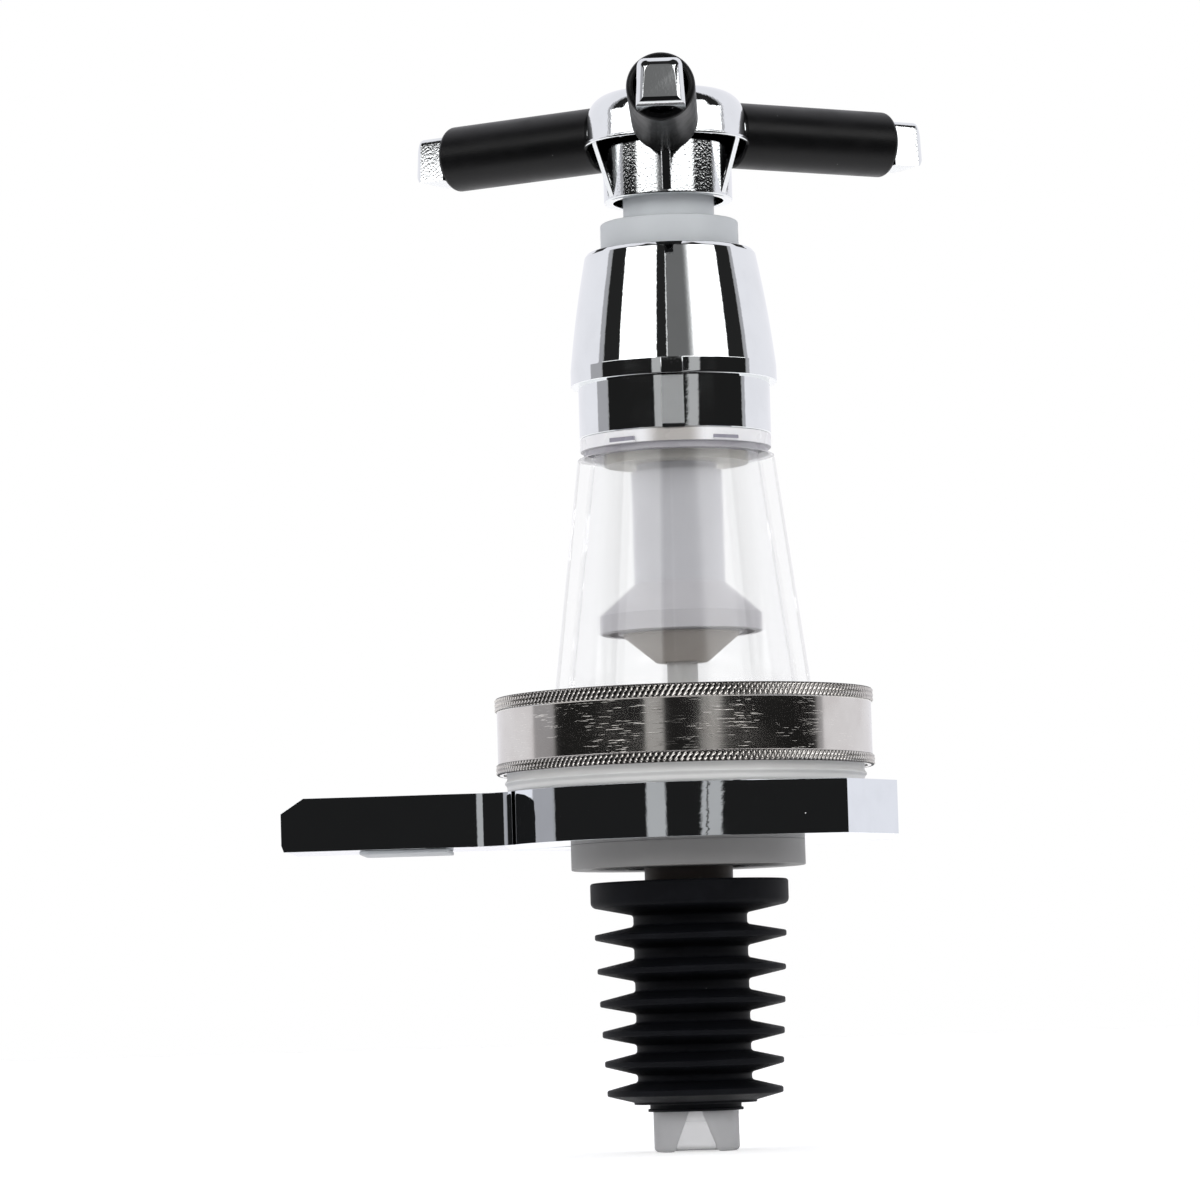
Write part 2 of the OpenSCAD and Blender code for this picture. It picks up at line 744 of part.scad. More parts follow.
module plunger_tube() {
    color([0.9, 0.9, 0.9]) difference() {
        union() {
            hole(tube_d, bell_top_z, tube_shoulder_z - bell_top_z);
            hole(shaft_d, tube_shoulder_z - e, tube_top_z - tube_shoulder_z + e);
        }
        hole(passage_d, bell_top_z - 1, tube_top_z - bell_top_z + 2);
        for (a = [45:360 / port_count:404])
            rotate([0, 0, a]) translate([0, 0, port_hole_z]) rotate([0, 90, 0])
                cylinder(r = port_r, h = tube_d);
    }
}

module valve_bell() {
    r = bell_d / 2;
    roof = bell_z + bell_rim_h;
    color([0.82, 0.83, 0.84]) difference() {
        turn(concat(
            [[0, bell_z], [r - 0.15, bell_z], [r, bell_z + 0.15], [r, roof]],
            [[tube_d / 2, bell_top_z], [passage_d / 2 - fit, bell_top_z]],
            [[passage_d / 2 - fit, bell_top_z + plug_h - 0.6], [passage_d / 2 - 0.6, bell_top_z + plug_h]],
            [[0, bell_top_z + plug_h]]
        ));
        turn([
            [bell_hollow_low_d / 2, bell_z - 1], [bell_hollow_high_d / 2, bell_z - 1],
            [bell_hollow_high_d / 2, bell_z + bell_hollow_h], [bell_hollow_low_d / 2, bell_z + bell_hollow_h]
        ]);
        hole(stem_d + 2 * fit, bell_z - 1, stem_head_z - bell_z + 1 + fit);
    }
}

module inlet_seal() {
    top = seal_top_d / 2;
    low = seal_low_d / 2;
    color([0.86, 0.8, 0.7]) difference() {
        turn([
            [0, seal_z], [low, seal_z], [top, bell_z - 0.35], [top, bell_z - fit], [0, bell_z - fit]
        ]);
        hole(stem_d + 2 * fit, seal_z - 1, seal_h + 2);
    }
}

module valve_stem() {
    r = stem_d / 2;
    color([0.84, 0.84, 0.83]) turn([
        [0, stem_end_z], [r - 0.6, stem_end_z], [r, stem_end_z + 0.8], [r, stem_head_z], [0, stem_head_z]
    ]);
}

// Crown

// Section of an arm's bar, flat below and rounded above
module bar_section(grow) {
    w = bar_w / 2 + grow;
    h = bar_h / 2 + grow;
    polygon(concat(
        [[-w, -h], [w, -h]],
        arc(w - bar_round, h - bar_round, bar_round, 0, 90, 5),
        arc(bar_round - w, h - bar_round, bar_round, 90, 180, 5)
    ));
}

// Section of the swollen end, narrower above
module tip_section() {
    w = tip_w / 2;
    top = tip_top_w / 2 - bar_round;
    h = tip_h / 2;
    polygon(concat(
        [[-w, -h], [w, -h]],
        arc(top, h - bar_round, bar_round, 5, 90, 5),
        arc(-top, h - bar_round, bar_round, 90, 175, 5)
    ));
}

// Swollen end that keeps the grip on an arm along +X, bevelled on its face
module arm_tip() {
    w = tip_w / 2;
    start = grip_reach + fit;
    low = arm_z - tip_drop - tip_h / 2;
    high = low + tip_h;
    intersection() {
        translate([start, 0, (low + high) / 2]) rotate([90, 0, 90])
            linear_extrude(push_reach - start) tip_section();
        translate([0, w + 1, 0]) rotate([90, 0, 0]) linear_extrude(tip_w + 2) polygon(concat(
            [[0, low], [push_reach - tip_bevel, low], [push_reach, low + tip_bevel]],
            arc(push_reach - tip_round, high - tip_round, tip_round, 0, 90, 6),
            [[0, high]]
        ));
        translate([0, 0, low - 1]) linear_extrude(tip_h + 2) polygon([
            [0, -w], [push_reach - tip_bevel, -w], [push_reach, tip_bevel - w],
            [push_reach, w - tip_bevel], [push_reach - tip_bevel, w], [0, w]
        ]);
    }
}

// Arm along +X: the root against the grip's end, the bar inside the grip and the swollen end
module arm() {
    translate([bar_start, 0, arm_z]) rotate([90, 0, 90])
        linear_extrude(grip_reach + 1 - bar_start) bar_section(0);
    intersection() {
        translate([bar_start, 0, arm_z]) rotate([0, 90, 0]) cylinder(d = grip_d, h = root_end - bar_start);
        translate([0, -grip_d, crown_head_z]) cube([crown_d, 2 * grip_d, crown_h - crown_round]);
    }
    arm_tip();
}

// Thin flange at the foot of the head, with a flat where each grip ends
module crown_flange() {
    translate([0, 0, crown_head_z]) linear_extrude(crown_flange_t) difference() {
        circle(d = crown_flange_d);
        for (a = arm_angles)
            rotate([0, 0, a]) translate([root_end, -crown_d]) square([crown_d, 2 * crown_d]);
    }
}

// Rib along +X from the skirt out to radius top_r under the flange
module rib(top_r) {
    skirt = crown_skirt_d / 2;
    top_z = crown_head_z + crown_flange_t / 2;
    translate([0, rib_t / 2, 0]) rotate([90, 0, 0]) linear_extrude(rib_t) polygon([
        [skirt - 0.8, top_z], [top_r, top_z], [top_r, crown_head_z - 0.3],
        [skirt, rib_low_z], [skirt - 0.8, rib_low_z]
    ]);
}

module crown() {
    r = crown_d / 2;
    skirt = crown_skirt_d / 2;
    color([0.78, 0.79, 0.81]) difference() {
        union() {
            turn(concat(
                [[0, crown_z], [skirt - 0.4, crown_z], [skirt, crown_z + 0.4]],
                [[skirt, crown_head_z], [r - 0.2, crown_head_z], [r, crown_head_z + 0.2]],
                arc(r - crown_round, crown_top_z - crown_round, crown_round, 0, 90, 10),
                [[0, crown_top_z]]
            ));
            crown_flange();
            for (a = arm_angles)
                rotate([0, 0, a]) arm();
            for (i = [0:rib_count - 1])
                rotate([0, 0, arm_angles[0] + 360 * i / rib_count])
                    rib((i % (rib_count / 3) == 0 ? root_end : crown_flange_d / 2) - 0.1);
        }
        hole(crown_skirt_d - 2 * crown_wall, crown_z - 1, skirt_hollow_h + 1);
        hole(cap_neck_d + 2 * run, crown_z, thrust_z - crown_z);
        hole(shaft_d + 2 * fit, crown_z, crown_floor_z - crown_z);
        hole(passage_d, crown_floor_z - 1, 4);
        turn([
            [0, crown_top_z - 0.6], [passage_d / 2, crown_top_z - 0.6],
            [passage_d / 2 + 0.8, crown_top_z + 0.2], [0, crown_top_z + 0.2]
        ]);
    }
}

// Rubber sleeve on the arm at angle a
module grip(a) {
    r = grip_d / 2;
    color([0.07, 0.07, 0.08]) rotate([0, 0, a]) translate([0, 0, arm_z]) rotate([90, 0, 90]) difference() {
        rotate_extrude() polygon(concat(
            [[0, grip_start], [r - 0.3, grip_start], [r, grip_start + 0.3]],
            arc(r - grip_round, grip_reach - grip_round, grip_round, 0, 90, 8),
            [[0, grip_reach]]
        ));
        linear_extrude(push_reach) bar_section(fit);
    }
}

module grip_front() {
    grip(-90);
}

module grip_left() {
    grip(150);
}

module grip_right() {
    grip(30);
}

stopper();
spigot_tube();
clamp_nut();
bracket_plate();
bracket_pad();
chamber_cap();
stem_guide();
inlet_seat();
chamber_gasket();
ring_nut();
chamber();
guide_bush();
outlet_seal();
outlet_housing();
shroud();
spring_seat();
return_spring();
spring_cap();
plunger_tube();
valve_bell();
inlet_seal();
valve_stem();
crown();
grip_front();
grip_left();
grip_right();
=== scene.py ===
"""Liquor optic, dressed for the camera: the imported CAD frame, finer turned and cast pieces, finishes and a studio."""

import json
import math

import bmesh
import bpy
from mathutils import Matrix, Vector


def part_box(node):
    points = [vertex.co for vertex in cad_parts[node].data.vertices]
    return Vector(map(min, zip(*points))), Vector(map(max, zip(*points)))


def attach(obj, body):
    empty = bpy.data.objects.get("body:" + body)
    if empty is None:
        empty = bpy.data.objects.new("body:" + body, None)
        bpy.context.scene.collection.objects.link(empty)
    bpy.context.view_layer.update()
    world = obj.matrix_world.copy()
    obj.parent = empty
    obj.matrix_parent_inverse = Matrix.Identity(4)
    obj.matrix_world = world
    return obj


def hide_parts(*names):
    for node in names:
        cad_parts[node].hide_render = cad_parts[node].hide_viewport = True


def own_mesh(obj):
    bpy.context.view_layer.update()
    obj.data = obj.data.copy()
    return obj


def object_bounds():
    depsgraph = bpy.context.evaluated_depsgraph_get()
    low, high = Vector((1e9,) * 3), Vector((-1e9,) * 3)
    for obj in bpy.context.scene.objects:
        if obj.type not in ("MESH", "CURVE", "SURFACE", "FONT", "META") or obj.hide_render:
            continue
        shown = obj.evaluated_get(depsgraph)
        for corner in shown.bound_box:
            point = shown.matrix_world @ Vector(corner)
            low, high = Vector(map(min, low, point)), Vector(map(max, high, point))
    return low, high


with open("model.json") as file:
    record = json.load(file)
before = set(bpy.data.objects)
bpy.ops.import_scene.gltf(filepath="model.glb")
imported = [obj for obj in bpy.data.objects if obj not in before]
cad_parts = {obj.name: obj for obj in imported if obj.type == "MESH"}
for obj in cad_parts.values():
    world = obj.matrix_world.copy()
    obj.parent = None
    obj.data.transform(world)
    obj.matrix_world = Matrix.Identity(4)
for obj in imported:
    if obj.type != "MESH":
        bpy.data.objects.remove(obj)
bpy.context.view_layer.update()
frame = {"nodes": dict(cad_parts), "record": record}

MM = 0.001


# Camera

PHOTO_PX = 1200
PX_PER_MM = 6.667
CAMERA_DISTANCE = 770 * MM
CAMERA_HEIGHT = -17 * MM
CAMERA_TURN = math.radians(0.9)
CAMERA_ROLL = math.radians(-1.68)
SENSOR = 36.0
AXIS_PX = (680.4, 600)
AIM_HEIGHT = 46.2 * MM


def place_camera():
    """Camera a little below the push crown, turned a degree to the right of the front arm."""
    across = Vector((math.cos(CAMERA_TURN), math.sin(CAMERA_TURN), 0))
    aim = Vector((0, 0, AIM_HEIGHT)) - across * ((AXIS_PX[0] - PHOTO_PX / 2) / PX_PER_MM * MM)
    place = Vector((math.sin(CAMERA_TURN), -math.cos(CAMERA_TURN), 0)) * CAMERA_DISTANCE
    place.z = CAMERA_HEIGHT
    data = bpy.data.cameras.new("camera")
    data.sensor_width = SENSOR
    data.lens = SENSOR * PX_PER_MM / MM * (aim - place).length / PHOTO_PX
    camera = bpy.data.objects.new("camera", data)
    bpy.context.collection.objects.link(camera)
    look = (aim - place).to_track_quat("-Z", "Y").to_matrix().to_4x4()
    camera.matrix_world = Matrix.Translation(place) @ look @ Matrix.Rotation(CAMERA_ROLL, 4, "Z")
    bpy.context.scene.camera = camera


# Shader maths

class Wire:
    """One output socket of a node, with arithmetic."""

    def __init__(self, net, socket):
        self.net = net
        self.socket = socket

    def maths(self, operation, *others):
        """The Math node's operation on this value and the others."""
        return self.net.add("ShaderNodeMath", {"operation": operation}, dict(enumerate((self, *others))))

    def __add__(self, other):
        return self.maths("ADD", other)

    def __sub__(self, other):
        return self.maths("SUBTRACT", other)

    def __rsub__(self, other):
        return self.net.add("ShaderNodeMath", {"operation": "SUBTRACT"}, {0: other, 1: self})

    def __mul__(self, other):
        return self.maths("MULTIPLY", other)

    __radd__ = __add__
    __rmul__ = __mul__

    def step(self, low, high):
        """0 below low, 1 above high and smooth between."""
        settings = {"interpolation_type": "SMOOTHSTEP"}
        return self.net.add("ShaderNodeMapRange", settings, {"Value": self, "From Min": low, "From Max": high})

    def band(self, low, high, soft):
        """1 between low and high, with soft edges."""
        return self.step(low - soft, low + soft) * (1 - self.step(high - soft, high + soft))


class Net:
    """The node tree of a material or world."""

    def __init__(self, tree):
        self.tree = tree
        tree.nodes.clear()

    def add(self, kind, settings, sockets, out=0):
        """One output of a new node of that kind; its settings are made first, then its sockets set or linked."""
        node = self.tree.nodes.new(kind)
        for name, value in settings.items():
            setattr(node, name, value)
        for name, value in sockets.items():
            if isinstance(value, Wire):
                self.tree.links.new(value.socket, node.inputs[name])
            else:
                node.inputs[name].default_value = value
        return Wire(self, node.outputs[out]) if node.outputs else None

    def mix(self, mask, a, b):
        """Colour a where mask is 0 and b where it is 1."""
        return self.add("ShaderNodeMix", {"data_type": "RGBA"}, {0: mask, 6: a, 7: b}, 2)

    def place(self, scale=(1, 1, 1)):
        """The piece's own coordinates in metres, stretched by scale."""
        coords = self.add("ShaderNodeTexCoord", {}, {}, "Object")
        return self.add("ShaderNodeVectorMath", {"operation": "MULTIPLY"}, {0: coords, 1: scale})

    def axis(self, name):
        """One of the piece's own coordinates, in millimetres."""
        return self.add("ShaderNodeSeparateXYZ", {}, {"Vector": self.place()}, name) * (1 / MM)

    def height(self):
        """Height above the flange in millimetres."""
        return self.axis("Z")

    def radius(self):
        """Distance from the axis in millimetres."""
        flat = self.place((1 / MM, 1 / MM, 0))
        return self.add("ShaderNodeVectorMath", {"operation": "LENGTH"}, {0: flat}, "Value")

    def noise(self, size_mm, detail, stretch=(1, 1, 1)):
        """Noise whose features are about size_mm across."""
        sockets = {"Vector": self.place(stretch), "Scale": 1 / (size_mm * MM), "Detail": detail}
        return self.add("ShaderNodeTexNoise", {}, sockets, "Fac")

    def specks(self, spacing_mm, share):
        """Small round spots, spacing_mm apart, that cover a small share of their cells' width."""
        sockets = {"Vector": self.place(), "Scale": 1 / (spacing_mm * MM)}
        near = self.add("ShaderNodeTexVoronoi", {"feature": "F1"}, sockets, "Distance")
        pick = self.add("ShaderNodeTexVoronoi", {"feature": "F1"}, sockets, "Color")
        lot = self.add("ShaderNodeSeparateColor", {}, {"Color": pick}, 0)
        return (1 - near.step(share * 0.6, share)) * lot.step(0.55, 0.6)

    def ray(self, kind):
        """1 for the rays of that kind, 0 for all others."""
        return self.add("ShaderNodeLightPath", {}, {}, "Is " + kind + " Ray")

    def bump(self, height, depth_mm, normal=None):
        """Normal of a surface that the height, 0 to 1, raises by depth_mm, on top of another normal."""
        sockets = {"Height": height, "Strength": 1.0, "Distance": depth_mm * MM}
        if normal:
            sockets["Normal"] = normal
        return self.add("ShaderNodeBump", {}, sockets, "Normal")


def colour(*rgb):
    """Opaque colour, linear."""
    return (*rgb, 1.0)


def darker(tint, by):
    """Opaque colour, each part of the tint times by."""
    return colour(*(c * by for c in tint))


def finish(name, paint, over=None):
    """A material of that name: a Principled shader from paint(net), and over it, by its mask, that of over(net)."""
    material = bpy.data.materials.new("finish_" + name)
    material.use_nodes = True
    net = Net(material.node_tree)
    shader = net.add("ShaderNodeBsdfPrincipled", {}, paint(net), "BSDF")
    if over:
        mask, sockets = over(net)
        layer = net.add("ShaderNodeBsdfPrincipled", {}, sockets, "BSDF")
        shader = net.add("ShaderNodeMixShader", {}, {0: mask, 1: shader, 2: layer}, "Shader")
    net.add("ShaderNodeOutputMaterial", {}, {"Surface": shader})
    return material


# Finishes, with places in millimetres

TIP_FACE_Y = (42.2, 43.2)
KEY_HALF_W = (1.6, 1.64)
KEY_FACE_Y = (14.56, 14.6)
KEY_Z = (70.8, 78.0)
GROOVE_Z = (67.3, 68.4)
RIM_TOP = 70.35
RIM_R = 14.35
LUG_Z = (68.65, 69.3)
SHAFT_HALF_W = (2, 5)
SHAFT_HALF_D = (10, 11)
RING_Z = (20.2, 31.6)
RING_R = 28.35
KNURL_LOW_H = 1.6
KNURL_TOP_H = 2.0
NECK_SHADE_Z = 2.0
BORE_R = (5.1, 5.4)
TIP_Z = (-33, -30)


def calm_face(net):
    """1 but on the end face of the front arm, where the plate is smoother."""
    return 1 - (net.axis("Y") * -1).step(*TIP_FACE_Y) * 0.85


def brushed_key(net):
    """1 on the raised key of the outlet housing, whose face is brushed."""
    side = net.axis("X").maths("ABSOLUTE")
    return (1 - side.step(*KEY_HALF_W)) * (net.axis("Y") * -1).step(*KEY_FACE_Y) * net.height().band(*KEY_Z, 0.2)


def chrome(tint, pebble_mm, pebble_depth, haze, calm=None, brushed=None):
    """Bright plate: a slow swell and a fine pebble under the shine, clouds of haze and dust.

    calm and brushed are masks: where the pebble is weaker, and where the plate is brushed.
    """
    def paint(net):
        swell = net.bump(net.noise(3.6, 2), 0.003)
        pebble = net.noise(pebble_mm, 3)
        lines = 0
        if calm:
            pebble = pebble * calm(net)
        if brushed:
            lines = brushed(net)
            pebble = pebble + lines * net.noise(0.35, 3, stretch=(1, 1, 0.2)) * 6
        dust = net.specks(2.6, 0.04)
        cloud = net.noise(5, 3).step(0.35, 0.75)
        base = net.mix(cloud, colour(*tint), darker(tint, 0.96))
        return {
            "Base Color": net.mix(dust, base, colour(0.9, 0.9, 0.9)),
            "Metallic": 1.0 - dust,
            "Roughness": cloud * haze + haze + dust * 0.4 + lines * 0.36,
            "Normal": net.bump(pebble, pebble_depth, swell),
        }
    return paint


def brushed_nickel(net):
    """Nickel over brass, turned: fine lines and a few long scratches round the ring, painted shade between the teeth.
    """
    fine = net.noise(0.3, 2, stretch=(0.04, 0.04, 1)) * 0.3
    patch = net.noise(5, 2).step(0.35, 0.6)
    scratches = net.noise(0.16, 2, stretch=(0.05, 0.05, 1)).step(0.6, 0.7) * patch
    stain_and_shade = net.noise(6, 4).step(0.3, 0.8)
    height = net.height()
    radius = net.radius()
    low, high = RING_Z
    banded = 1 - height.band(low + KNURL_LOW_H - 0.05, high - KNURL_TOP_H + 0.05, 0.03)
    # Painted shade: the bottoms of the knurl grooves are painted near black, and made rougher.
    groove_shade = banded * (1 - radius.step(RING_R - 0.24, RING_R - 0.08)) * radius.step(RING_R - 0.6, RING_R - 0.5)
    base = net.mix(stain_and_shade, colour(0.66, 0.64, 0.61), colour(0.58, 0.55, 0.52))
    return {
        "Base Color": net.mix(groove_shade, base, colour(0.05, 0.047, 0.045)),
        "Metallic": 1.0,
        "Roughness": stain_and_shade * 0.05 + groove_shade * 0.4 + 0.09,
        "Normal": net.bump(fine + scratches * 0.6, 0.01),
    }


def moulded(tint, rough):
    """Moulded plastic: a soft cloud in the colour, a fine grain in the shine and a few dark specks."""
    def paint(net):
        cloud = net.noise(7, 3).step(0.3, 0.75)
        grain = net.noise(0.25, 2)
        specks = net.specks(4.2, 0.025)
        base = net.mix(cloud, colour(*tint), darker(tint, 0.95))
        return {
            "Base Color": net.mix(specks * 0.5, base, darker(tint, 0.6)),
            "Roughness": cloud * 0.08 + rough,
            "Normal": net.bump(grain + net.noise(2.5, 1), 0.01),
        }
    return paint


def rubber(tint, rough, shine, bloom, grain_mm, grain_depth):
    """Rubber with a dull bloom, a fine grain and a little lint."""
    def paint(net):
        cloud = net.noise(4, 4).step(0.4, 0.8)
        lint = net.specks(3.4, 0.03)
        base = net.mix(cloud, colour(*tint), colour(*bloom))
        return {
            "Base Color": net.mix(lint * 0.5, base, colour(0.2, 0.2, 0.2)),
            "Roughness": cloud * 0.1 + rough,
            "Specular IOR Level": shine,
            "Normal": net.bump(net.noise(grain_mm, 3) + net.noise(1.6, 2), grain_depth),
        }
    return paint


def clear_plastic(net):
    """Polished clear plastic with faint ripples from the mould; it hardly bends what is seen through it."""
    return {
        "Base Color": colour(0.86, 0.865, 0.88),
        "Roughness": net.noise(9, 2).step(0.5, 0.9) * 0.03,
        "IOR": 1.03,
        "Transmission Weight": 1.0,
        "Alpha": 0.35,
        "Coat Weight": 1.0,
        "Coat IOR": 1.9,
        "Normal": net.bump(net.noise(5, 1), 0.004),
    }


def glued_rim(net):
    """Milky haze in the ring over the chamber's groove, painted shade in front and behind where the dark column inside
    shows through, darker on the lugs and in the groove.
    """
    height = net.height()
    groove = height.band(*GROOVE_Z, 0.12)
    ring = height.band(GROOVE_Z[1], RIM_TOP, 0.1)
    cloud = net.noise(5, 2).step(0.3, 0.7)
    pale = net.mix(cloud, colour(0.95, 0.95, 0.96), colour(0.9, 0.9, 0.92))
    across, ahead = net.axis("X").maths("ABSOLUTE"), net.axis("Y").maths("ABSOLUTE")
    # Painted shade where the dark column inside shows through the ring, in front and behind.
    column_shade = (1 - across.step(*SHAFT_HALF_W)) * ahead.step(*SHAFT_HALF_D)
    lug = net.radius().step(RIM_R + 0.07, RIM_R + 0.13) * height.band(*LUG_Z, 0.08)
    shaded = net.mix(column_shade, pale, colour(0.46, 0.44, 0.42))
    lugged = net.mix(lug, shaded, colour(0.3, 0.29, 0.34))
    return groove * 0.6 + ring * 0.94, {
        "Base Color": net.mix(groove, lugged, colour(0.52, 0.51, 0.55)),
        "Roughness": cloud * 0.1 + 0.25,
    }


def milky_plastic(tint, through):
    """Plastic with little pigment, which lets the light through."""
    def paint(net):
        cloud = net.noise(4, 3).step(0.3, 0.7)
        return {
            "Base Color": net.mix(cloud, colour(*tint), darker(tint, 0.94)),
            "Roughness": cloud * 0.1 + 0.4,
            "IOR": 1.25,
            "Transmission Weight": through,
            "Normal": net.bump(net.noise(0.8, 2), 0.015),
        }
    return paint


def spigot_plastic(net):
    """Milky grey at the tip, painted near white and mostly clear in its bore for the light through its back wall,
    painted brown shade where it stands open above the stopper.
    """
    sockets = milky_plastic((0.5, 0.5, 0.51), 0.55)(net)
    bore = (1 - net.radius().step(*BORE_R)) * (1 - net.height().step(*TIP_Z))
    # Painted light: the bore is painted near white for the light that comes through the back wall.
    bore_painted_light = net.mix(bore, sockets["Base Color"], colour(0.98, 0.98, 0.98))
    sockets["Alpha"] = 1 - bore * 0.9
    # Painted shade: the neck between the clamp nut and the stopper is painted dark brown.
    stain_and_shade = net.height().step(NECK_SHADE_Z - 0.5, NECK_SHADE_Z)
    sockets["Base Color"] = net.mix(stain_and_shade, bore_painted_light, colour(0.12, 0.104, 0.095))
    return sockets


STEEL_BLUE = (0.78, 0.81, 0.84)
PLATED = (0.8, 0.82, 0.83)
FINISHES = {
    "stopper_rubber": rubber(
        (0.0042, 0.0045, 0.006), rough=0.55, shine=0.08, bloom=(0.0065, 0.007, 0.009), grain_mm=0.18,
        grain_depth=0.016),
    "spigot_plastic": spigot_plastic,
    "grey_plastic": moulded((0.56, 0.585, 0.605), 0.42),
    "bracket_chrome": chrome(STEEL_BLUE, pebble_mm=0.9, pebble_depth=0.004, haze=0.02),
    "white_plastic": moulded((0.72, 0.72, 0.71), 0.4),
    "seal_rubber": rubber(
        (0.60, 0.56, 0.52), rough=0.5, shine=0.3, bloom=(0.64, 0.6, 0.56), grain_mm=0.3, grain_depth=0.01),
    "black_rubber": rubber(
        (0.02, 0.02, 0.02), rough=0.5, shine=0.3, bloom=(0.03, 0.03, 0.03), grain_mm=0.3, grain_depth=0.01),
    "plated_brass": brushed_nickel,
    "clear_plastic": clear_plastic,
    "cream_plastic": milky_plastic((0.88, 0.86, 0.8), 0.5),
    "plated_plastic": chrome(PLATED, pebble_mm=0.5, pebble_depth=0.003, haze=0.02),
    "steel": chrome((0.55, 0.55, 0.56), pebble_mm=0.5, pebble_depth=0.004, haze=0.12),
    "grip_rubber": rubber(
        (0.0022, 0.0022, 0.0026), rough=0.34, shine=0.25, bloom=(0.0032, 0.0032, 0.0036), grain_mm=0.3,
        grain_depth=0.006),
}
OVER = {"clear_plastic": glued_rim}
MATERIALS = {slot: finish(slot, paint, OVER.get(slot)) for slot, paint in FINISHES.items()}
OWN_FINISH = {
    "crown": finish("crown_plate", chrome(PLATED, pebble_mm=0.34, pebble_depth=0.0125, haze=0.02, calm=calm_face)),
    "outlet_housing": finish(
        "housing_plate", chrome(PLATED, pebble_mm=0.5, pebble_depth=0.003, haze=0.02, brushed=brushed_key)),
    # The clamp nut is grey plastic painted darker for the shade it stands in below the bracket plate.
    "clamp_nut": finish("shaded_nut_plastic", moulded((0.27, 0.265, 0.26), 0.45)),
    "plunger_tube": finish("tube_plastic", moulded((0.68, 0.68, 0.71), 0.4)),
    "valve_bell": finish("bell_plastic", moulded((0.66, 0.65, 0.675), 0.4)),
}
SLOT = {part["node"]: part["material_slot"] for part in frame["record"]["subparts"]}
BODY = {node: body for body, nodes in frame["record"]["behaviour"]["bodies"].items() for node in nodes}


def finish_of(node):
    """Material of a node: its own, or else its slot's."""
    return OWN_FINISH.get(node, MATERIALS[SLOT[node]])


# Making pieces, in millimetres

FLAT_WITHIN = math.radians(0.4)
HARD_FROM = math.radians(25)
replaced = set()


def span(node):
    """Radius, lowest and highest point of a round node."""
    low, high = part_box(node)
    return high[0] / MM, low[2] / MM, high[2] / MM


def rounded(corners, steps=5):
    """Outline through (r, z) corners; a third number rounds a corner with that radius."""
    points = []
    for i, corner in enumerate(corners):
        here = Vector(corner[:2])
        if len(corner) < 3:
            points.append(here)
            continue
        before = (Vector(corners[i - 1][:2]) - here).normalized()
        after = (Vector(corners[(i + 1) % len(corners)][:2]) - here).normalized()
        half = before.angle(after) / 2
        reach = corner[2] / math.tan(half)
        middle = here + (before + after).normalized() * (corner[2] / math.sin(half))
        start, end = here + before * reach - middle, here + after * reach - middle
        turn = start.angle_signed(end)
        points += [middle + Matrix.Rotation(-turn * k / steps, 2) @ start for k in range(steps + 1)]
    return points


def join_up(name, mesh, node, smooth_over=35):
    """Object of that mesh that stands for a CAD node, smooth but for edges of more than smooth_over degrees."""
    mesh.shade_smooth()
    mesh.set_sharp_from_angle(angle=math.radians(smooth_over))
    piece = bpy.data.objects.new(name, mesh)
    bpy.context.collection.objects.link(piece)
    weigh = piece.modifiers.new("normals", "WEIGHTED_NORMAL")
    weigh.keep_sharp = True
    mesh.materials.clear()
    mesh.materials.append(finish_of(node))
    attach(piece, BODY[node])
    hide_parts(node)
    replaced.add(node)
    return piece


def spin(bm, outline, around, shape=None, lay=Matrix()):
    """Closed (r, z) outline turned about the axis; shape(r, z, angle) may move a point, lay lays the piece down."""
    rings = []
    for k in range(around):
        angle = 2 * math.pi * k / around
        ring = []
        for r, z in outline:
            if shape:
                r, z = shape(r, z, angle)
            ring.append(bm.verts.new(lay @ Vector((r * math.cos(angle), r * math.sin(angle), z)) * MM))
        rings.append(ring)
    for k, ring in enumerate(rings):
        beside = rings[(k + 1) % around]
        for j in range(len(ring)):
            down = (j + 1) % len(ring)
            bm.faces.new((ring[j], ring[down], beside[down], beside[j]))


def block(bm, low, high, bevel, turn):
    """Box between two corners with bevelled edges, turned about the axis by degrees."""
    made = bmesh.ops.create_cube(bm, size=1)
    size = Vector(high) - Vector(low)
    middle = (Vector(high) + Vector(low)) / 2
    for vert in made["verts"]:
        vert.co = Vector(c * s + m for c, s, m in zip(vert.co, size, middle)) * MM
    spin_by = Matrix.Rotation(math.radians(turn), 3, "Z")
    for vert in made["verts"]:
        vert.co = spin_by @ vert.co
    edges = {edge for vert in made["verts"] for edge in vert.link_edges}
    bmesh.ops.bevel(bm, geom=list(edges), offset=bevel * MM, segments=3, profile=0.5, affect="EDGES")


def loft(bm, sections):
    """Closed solid through sections of equally many points."""
    rings = [[bm.verts.new(Vector(point) * MM) for point in section] for section in sections]
    for one, two in zip(rings, rings[1:]):
        for k in range(len(one)):
            beside = (k + 1) % len(one)
            bm.faces.new((one[k], one[beside], two[beside], two[k]))
    bm.faces.new(rings[0])
    bm.faces.new(rings[-1])


def to_mesh(bm, name):
    """Mesh of that name with its faces turned outwards."""
    bmesh.ops.recalc_face_normals(bm, faces=bm.faces)
    mesh = bpy.data.meshes.new(name)
    bm.to_mesh(mesh)
    bm.free()
    return mesh


def turned(node, corners, around=192, shape=None, raised=()):
    """A turned piece that stands for a node; raised lists (low, high, bevel, turn) of the blocks on it."""
    bm = bmesh.new()
    spin(bm, rounded(corners), around, shape)
    for made in raised:
        block(bm, *made)
    name = node + "_turned"
    join_up(name, to_mesh(bm, name), node)


